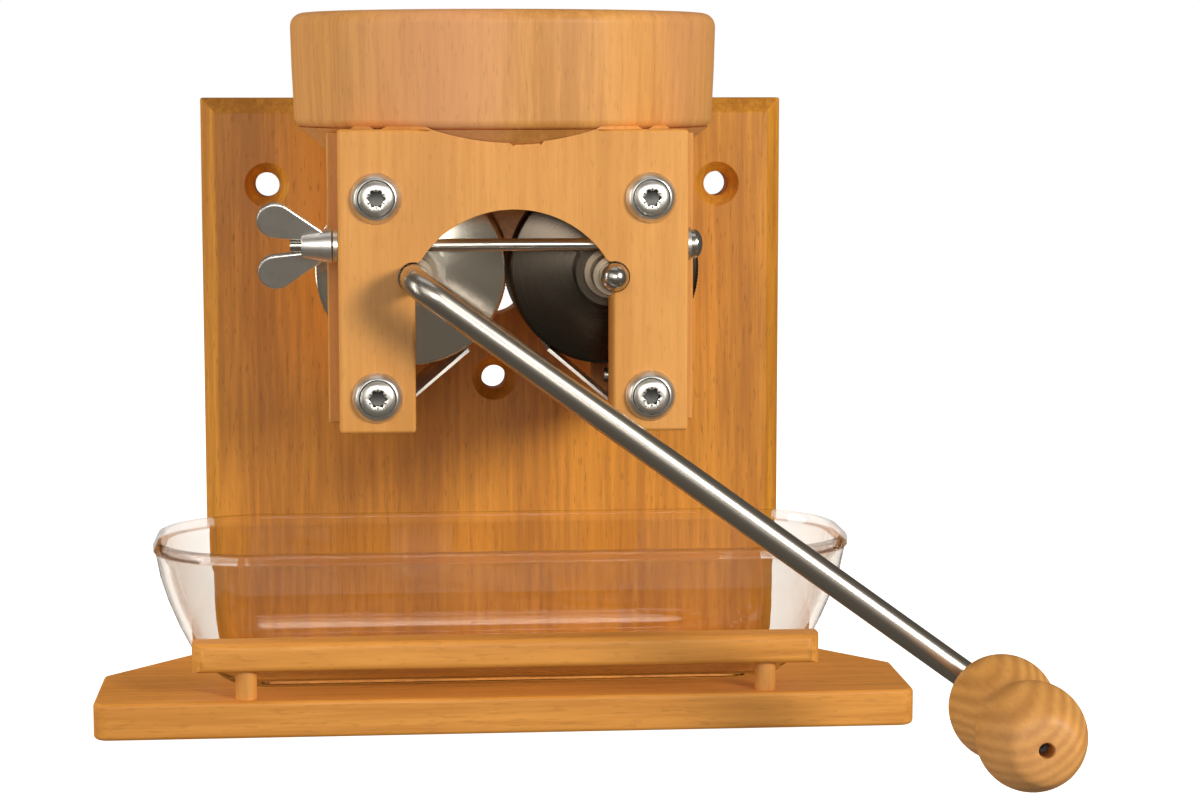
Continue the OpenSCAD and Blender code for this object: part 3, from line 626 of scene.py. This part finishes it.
# %% The crank
def crank_bar():
    low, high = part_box("crank_rod")
    arm = Vector((knob_at[0] - drive_at[0], 0, knob_at[2] - drive_at[2]))
    bend = 10 * mm
    washer, shoulder = 1.9 * mm, 1 * mm
    axle_len, axle_share = 60 * mm, 0.8
    arm_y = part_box("knob")[1].y + washer + shoulder + bend
    bm = bmesh.new()
    ring = bmesh.ops.create_circle(bm, segments=48, radius=shaft_r)["verts"]
    bmesh.ops.rotate(bm, verts=ring, cent=(0, 0, 0), matrix=Matrix.Rotation(radians(90), 3, "X"))
    bmesh.ops.translate(bm, verts=ring, vec=(0, high.y, 0))
    edges = list(bm.edges)
    bmesh.ops.edgeloop_fill(bm, edges=edges)

    def draw(edges, *move):
        """Draws the open end straight on."""
        made = bmesh.ops.extrude_edge_only(bm, edges=edges)["geom"]
        bmesh.ops.translate(bm, verts=verts_of(made), vec=move)
        return [e for e in edges_of(made) if all(v in made for v in e.verts)]

    def turn(edges, centre, sign):
        """Bends the open end through a quarter turn."""
        verts = list({v for e in edges for v in e.verts})
        spun = bmesh.ops.spin(bm, geom=verts + edges, cent=centre, axis=(0, 0, sign),
                              angle=radians(90), steps=12)
        return edges_of(spun["geom_last"])

    edges = draw(edges, 0, arm_y + bend - high.y, 0)
    edges = turn(edges, (bend, arm_y + bend, 0), 1)
    edges = draw(edges, arm.length - 2 * bend, 0, 0)
    edges = turn(edges, (arm.length - bend, arm_y - bend, 0), -1)
    edges = draw(edges, 0, -shoulder, 0)
    edges = draw(edges, 0, -0.4 * mm, 0)
    narrow = list({v for e in edges for v in e.verts})
    middle = Matrix.Translation((-arm.length, 0, 0))
    bmesh.ops.scale(bm, vec=(axle_share, 1, axle_share), space=middle, verts=narrow)
    edges = draw(edges, 0, -axle_len, 0)
    bmesh.ops.edgeloop_fill(bm, edges=edges)
    bmesh.ops.recalc_face_normals(bm, faces=bm.faces)
    hang = Vector((1, 0, 0)).angle(arm)
    place = Matrix.Translation((drive_at[0], 0, drive_at[2])) @ Matrix.Rotation(hang, 4, "Y")
    bmesh.ops.transform(bm, matrix=place, verts=bm.verts)
    return bm, hang


bar, crank_angle = crank_bar()
crank_steel = drawn_steel("crank steel", -crank_angle)
finish_piece("crank_bar", bar, "crank", crank_steel, ["crank_rod"])
print("the crank hangs", round(crank_angle * 180 / pi, 1), "degrees below level")

# %% [markdown]
# ## Screws in cup washers
#
# Each screw has a low domed head with a six-lobed socket and sits in a pressed cup washer. The
# head is spun with a plain round socket, and the socket's wall is then waved six times round.

# %% Screws and cup washers
plate_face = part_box("front_plate")[0].y
cup_outline = [(3.4 * mm, 0), (cup_r, 0), (cup_r, 0.5 * mm), (cup_r - 0.3 * mm, 0.9 * mm),
               (cup_r - 1.1 * mm, 2.2 * mm), (cup_r - 1.9 * mm, 2.85 * mm), (cup_r - 2.3 * mm, 2.95 * mm),
               (6.45 * mm, 2.6 * mm)]
head_outline = (
    [(0, -10 * mm), (3 * mm, -10 * mm), (3 * mm, -0.1 * mm), (6.2 * mm, 2.9 * mm)]
    + [(6.1 * mm, 3.3 * mm), (5.4 * mm, 3.85 * mm), (4.6 * mm, 4.15 * mm), (3.5 * mm, 4.3 * mm),
       (3.1 * mm, 4.1 * mm), (3.0 * mm, 3.6 * mm), (2.8 * mm, 0.9 * mm), (0, 0.4 * mm)]
)
socket_r = 3.3 * mm
socket_floor = 1 * mm
lobe = 0.4 * mm
cups = bmesh.new()
heads = bmesh.new()
for x in screw_x:
    for z in screw_z:
        place = Matrix.Translation((x, plate_face, z)) @ TO_FRONT
        add_to(cups, lathe(cup_outline, place, 64, closed=True))
        head = lathe(head_outline, Matrix.Identity(4), 72)
        for vert in head.verts:
            radius = vert.co.xy.length
            if 0.1 * mm < radius < socket_r and vert.co.z > socket_floor:
                wave = lobe * cos(6 * Vector((1, 0)).angle_signed(vert.co.xy))
                vert.co.xy *= (radius - 0.3 * mm + wave) / radius
        # The faces deep in each socket take the second, dark material: painted shade in the recess.
        for face in head.faces:
            middle = face.calc_center_median()
            face.material_index = int(middle.xy.length < 3 * mm and middle.z > 0)
        bmesh.ops.transform(head, matrix=place, verts=head.verts)
        add_to(heads, head)
finish_piece("cup_washers_pressed", cups, "stand", screw_steel, ["cup_washers"])
screws = finish_piece("plate_screws_lobed", heads, "stand", screw_steel, ["plate_screws"])
# The dark second material is painted shade inside the sockets.
screws.data.materials.append(blackened_steel_and_socket_shade)

# %% [markdown]
# ## The wing nut
#
# A wing nut is forged: a tapered hub with two rounded ears that lean outwards. Each ear is the
# convex hull of a small and a large circle, given a thickness and then well rounded all round.

# %% The wing nut
def wing_nut():
    low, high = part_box("wing_nut")
    lean = radians(20)
    nut_at = joints["nut_turn"]["pos_m"]
    hub = 11 * mm
    bore = 2.3 * mm
    ear_thick = 2.6 * mm
    hub_outline = [(bore, 0), (5.6 * mm, 0), (6.15 * mm, 0.5 * mm), (5.9 * mm, 2.2 * mm),
                   (5.2 * mm, 6 * mm), (4.6 * mm, hub - 0.6 * mm), (4.1 * mm, hub), (bore, hub)]
    bm = lathe(hub_outline, Matrix.Identity(4), 64, closed=True)
    for side in (1, -1):
        ear = bmesh.new()
        for r, x, z in ((2.4 * mm, side * 4 * mm, 5 * mm), (6.6 * mm, side * 9.9 * mm, 20 * mm)):
            place = Matrix.Translation((x, -ear_thick / 2, z)) @ TO_FRONT
            bmesh.ops.create_circle(ear, segments=40, radius=r, matrix=place)
        hull = bmesh.ops.convex_hull(ear, input=ear.verts)
        bmesh.ops.delete(ear, geom=verts_of(hull["geom_interior"]), context="VERTS")
        bmesh.ops.dissolve_limit(ear, angle_limit=radians(1), verts=ear.verts, edges=ear.edges)
        flat = max(ear.faces, key=lambda f: f.calc_area())
        bmesh.ops.delete(ear, geom=[f for f in ear.faces if f is not flat], context="FACES")
        grown = bmesh.ops.extrude_face_region(ear, geom=list(ear.faces), use_keep_orig=True)["geom"]
        bmesh.ops.translate(ear, verts=verts_of(grown), vec=(0, ear_thick, 0))
        bmesh.ops.recalc_face_normals(ear, faces=ear.faces)
        round_edges(ear, 0.9 * mm, 4, turn=50)
        add_to(bm, ear)
    place = Matrix.Translation((high.x, nut_at[1], nut_at[2])) @ Matrix.Rotation(lean, 4, "X")
    bmesh.ops.transform(bm, matrix=place @ Matrix.Rotation(radians(-90), 4, "Y"), verts=bm.verts)
    return bm


finish_piece("forged_wing_nut", wing_nut(), "clamp_nut", nut_steel, ["wing_nut"], turn=50)

# %% [markdown]
# ## The glass dish
#
# The dish is pressed glass: a rounded tray with a thick, slightly beaded rim. Each station of
# its wall is a circle whose four quarters are pushed apart into a rounded rectangle. The first
# one is drawn up the outside, over the rim and down the inside, so the glass is one closed
# skin of its real thickness, which is what makes its edges bend the light. A station is its
# height, how far in it is from the rim in width and in depth, and how much tighter its corners
# are, in millimetres.

# %% The glass dish
def glass_dish():
    low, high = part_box("glass_dish")
    rim_w, rim_d = (high.x - low.x) / 2, (high.y - low.y) / 2
    rim_corner = 40 * mm
    outside = [(0, 28.5, 28, 21), (0.6, 26.7, 26.4, 19.8), (2.2, 24.1, 24.8, 18.6), (4.6, 21.1, 23.1, 16.8),
               (8, 17.4, 21.1, 15), (14, 13.2, 19.2, 13.2), (22, 9.2, 17.4, 11.6), (32, 5.3, 12.4, 8.2),
               (42, 2.4, 7.2, 4.6), (49, 1.3, 3.4, 2.2), (51.4, 0.8, 2.2, 1.4), (52, 0.1, 1.0, 0.6),
               (54.4, 0, 0, 0), (55.5, 0.5, 0.5, 0.4), (56, 1.5, 1.5, 1.1)]
    inside = [(56, 2.4, 2.4, 2.0), (55.4, 3.3, 3.3, 2.8), (54, 3.7, 3.9, 3.3), (42, 6.0, 10.6, 8),
              (32, 8.8, 15.8, 11.6), (22, 12.7, 20.8, 15), (14, 16.6, 22.6, 16.6), (8, 21.1, 24.6, 18.2),
              (5, 25, 27.2, 21), (3.9, 28.5, 29.5, 23), (3.5, 33, 32.5, 25)]
    bm = bmesh.new()
    half_step = Matrix.Rotation(pi / 96, 4, "Z")
    circle = bmesh.ops.create_circle(bm, segments=96, radius=1, matrix=half_step)["verts"]
    ring = {vert: vert.co.copy() for vert in circle}
    edges = bm.edges[:]

    def shape(ring, station):
        z, in_w, in_d, less = [value * mm for value in station]
        corner = rim_corner - less
        for vert, way in ring.items():
            vert.co.x = (rim_w - in_w - corner) * (1 if way.x > 0 else -1) + corner * way.x
            vert.co.y = (rim_d - in_d - corner) * (1 if way.y > 0 else -1) + corner * way.y
            vert.co.z = z

    shape(ring, outside[0])
    bottom = edges
    for station in outside[1:] + inside:
        made = bmesh.ops.extrude_edge_only(bm, edges=edges)["geom"]
        verts = verts_of(made)
        edges = [e for e in edges_of(made) if all(v in verts for v in e.verts)]
        below = {v: next(e.other_vert(v) for e in v.link_edges if e.other_vert(v) in ring) for v in verts}
        ring = {v: ring[below[v]] for v in verts}
        shape(ring, station)
    bmesh.ops.edgeloop_fill(bm, edges=bottom)
    bmesh.ops.edgeloop_fill(bm, edges=edges)
    bmesh.ops.recalc_face_normals(bm, faces=bm.faces)
    bmesh.ops.translate(bm, verts=bm.verts, vec=((low.x + high.x) / 2, (low.y + high.y) / 2, low.z))
    return bm


# %% [markdown]
# ## Glass
#
# Glass is one shader with full transmission. Its thick ends are painted a warm brown, a painted
# reflection of the wood around them, and the rim is made partly see-through, or it would draw a
# black line. It throws no shadow here; instead its grey-brown tint, partly the glass's own and
# partly painted shade, darkens what is seen through it.

# %% Glass
clear = Finish("clear glass", IOR=1.34, Transmission_Weight=1.0)
ripple = clear.noise(clear.place((30, 30, 30)), detail=2)
smudge = clear.noise(clear.place((120, 120, 120)), detail=3)
here = clear.add("ShaderNodeTexCoord")["Object"]
sides = clear.add("ShaderNodeSeparateXYZ", {"Vector": here})
# Painted reflection: the thick ends are darkened towards the warm brown of the wood around them.
ends_painted_reflection = clear.math("ABSOLUTE", sides["X"]).step(0.108, 0.130)
rim = sides["Z"].step(0.0655, 0.0665)
# The tint is partly the glass's own and partly painted shade, standing in for the shadow the dish doesn't
# throw.
painted_shade_tint = clear.blend(ripple, (0.84, 0.81, 0.78), (0.79, 0.76, 0.725))
glass = clear.set(Base_Color=clear.blend(0.8 * ends_painted_reflection, painted_shade_tint, (0.73, 0.66, 0.60)),
                  Roughness=0.02 * smudge, Alpha=1 - 0.6 * rim,
                  Normal=clear.bump(ripple, 0.05, 0.002))
dish = finish_piece("pressed_glass_dish", glass_dish(), "dish", glass, ["glass_dish"], turn=60)
dish.visible_shadow = False
dish.visible_diffuse = False

# %% [markdown]
# ## Small steel that keeps its solid
#
# The bolt, the washers, the bushes, the scrapers and the hidden screws already have their true
# shapes. They stay as they are and only take a finish.

# %% Small steel
finishes = {
    "clamp_bolt": drawn_steel("bolt steel", 0.0, (0.62, 0.60, 0.57), 0.15),
    "bolt_washer": screw_steel, "wing_washer": screw_steel, "knob_washer": screw_steel,
    "left_scraper": nut_steel, "right_scraper": nut_steel,
    "left_scraper_screws": screw_steel, "right_scraper_screws": screw_steel,
    "base_screws": screw_steel, "back_screws": screw_steel,
    "drive_set_screw": blackened_steel_and_socket_shade, "idler_set_screw": blackened_steel_and_socket_shade,
    "drive_circlip": blackened_steel_and_socket_shade, "idler_circlip": blackened_steel_and_socket_shade, "knob_screw": blackened_steel_and_socket_shade,
    "drive_thrust_washers": bronze, "idler_thrust_washers": bronze,
    "front_left_bush": bronze, "front_right_bush": bronze,
    "rear_left_bush": bronze, "rear_right_bush": bronze,
}
for node, material in finishes.items():
    mesh = frame["nodes"][node].data
    mesh.materials.clear()
    mesh.materials.append(material)
print(len(finishes), "nodes keep their solids")

# %% [markdown]
# ## Light, floor and camera
#
# A white floor under soft light keeps the eye on the wood. The key stands to the right, so the
# body shades the left of the board. Steel needs something dark to reflect or it goes flat, so
# the sky is white to the eye and through the glass, a soft grey for the wood, and dim in
# reflections, where a card over the camera and a tall strip at the left draw bright lines. The
# floor glows a little and shows only to the eye, so it stays pale without lighting the wood.

# %% Floor and sky
floor_bm = bmesh.new()
bmesh.ops.create_grid(floor_bm, x_segments=1, y_segments=1, size=3.0,
                      matrix=Matrix.Translation((0, 0, cad_box[0][2] - 0.2 * mm)))
floor_mesh = bpy.data.meshes.new("floor")
floor_bm.to_mesh(floor_mesh)
floor_bm.free()
floor = bpy.data.objects.new("floor", floor_mesh)
bpy.context.scene.collection.objects.link(floor)
white = Finish("floor white", Base_Color=(0.86, 0.86, 0.85, 1), Roughness=0.8,
               Emission_Color=(1, 0.995, 0.98, 1), Emission_Strength=0.85)
floor_mesh.materials.append(white.material)
floor.visible_glossy = False
floor.visible_diffuse = False

world = bpy.data.worlds.new("studio")
bpy.context.scene.world = world
world.use_nodes = True
sky = Nodes(world.node_tree)
rays = sky.add("ShaderNodeLightPath")
sky_grey, sky_dim, sky_white = (0.28, 0.275, 0.27), (0.12, 0.105, 0.085), (1, 1, 1)
shade = sky.blend(rays["Is Glossy Ray"], sky_grey, sky_dim)
shade = sky.blend(rays["Is Transmission Ray"], shade, sky_white)
shade = sky.blend(rays["Is Camera Ray"], shade, sky_white)
sky.join(world.node_tree.nodes["Background"].inputs["Color"], shade)
print("the floor is at", round(cad_box[0][2], 4))

# %% [markdown]
# ## Lights
#
# The key, the fill and the top light shape the wood. The side and back lights only lift its left
# side and its back, so they are hidden from reflections, and the card does the opposite.


# %% Lights
def soft_box(name, at, aim, size, power, colour):
    light = bpy.data.lights.new(name, "AREA")
    light.shape = "RECTANGLE"
    light.size, light.size_y = size
    light.energy = power
    light.color = colour
    lamp = bpy.data.objects.new(name, light)
    lamp.location = at
    lamp.rotation_euler = (Vector(aim) - Vector(at)).to_track_quat("-Z", "Y").to_euler()
    bpy.context.scene.collection.objects.link(lamp)
    return lamp


target = (0, -0.06, 0.14)
warm = (1.0, 0.96, 0.89)
soft_box("key", (1.0, -1.3, 0.62), target, (0.4, 0.4), 19.5, warm)
soft_box("fill", (-0.8, -1.3, 0.6), target, (0.8, 0.8), 2.6, warm)
soft_box("top", (-0.1, -0.35, 1.5), target, (1.1, 0.5), 1.4, (1.0, 0.98, 0.95))
for name, at, power in (("side", (-1.2, -0.16, 0.3), 5.5), ("back", (-0.7, 1.4, 1.1), 4)):
    soft_box(name, at, target, (0.8, 0.8), power, warm).visible_glossy = False
gleam = (1.0, 0.955, 0.86)
soft_box("strip", (-1.3, -0.35, 0.35), target, (0.22, 0.9), 3, gleam)
card = soft_box("card", (-0.1, -1.75, 0.48), target, (0.8, 0.4), 11, gleam)
card.visible_diffuse = False

# %% [markdown]
# ## Camera
#
# The camera stands a little left of the middle, level with the hopper, and looks slightly down
# and to the right, so the base's top shows and the knob comes forward.

# %% Camera
view = bpy.data.cameras.new("camera")
view.sensor_width = 36
view.lens = 83.8
camera = bpy.data.objects.new("camera", view)
camera.location = (-0.0542, -1.1374, 0.2466)
look_down, look_right = radians(6.61), radians(4.91)
camera.rotation_euler = (radians(90) - look_down, 0, -look_right)
bpy.context.scene.collection.objects.link(camera)
bpy.context.scene.camera = camera
bpy.context.scene.view_settings.view_transform = "Standard"
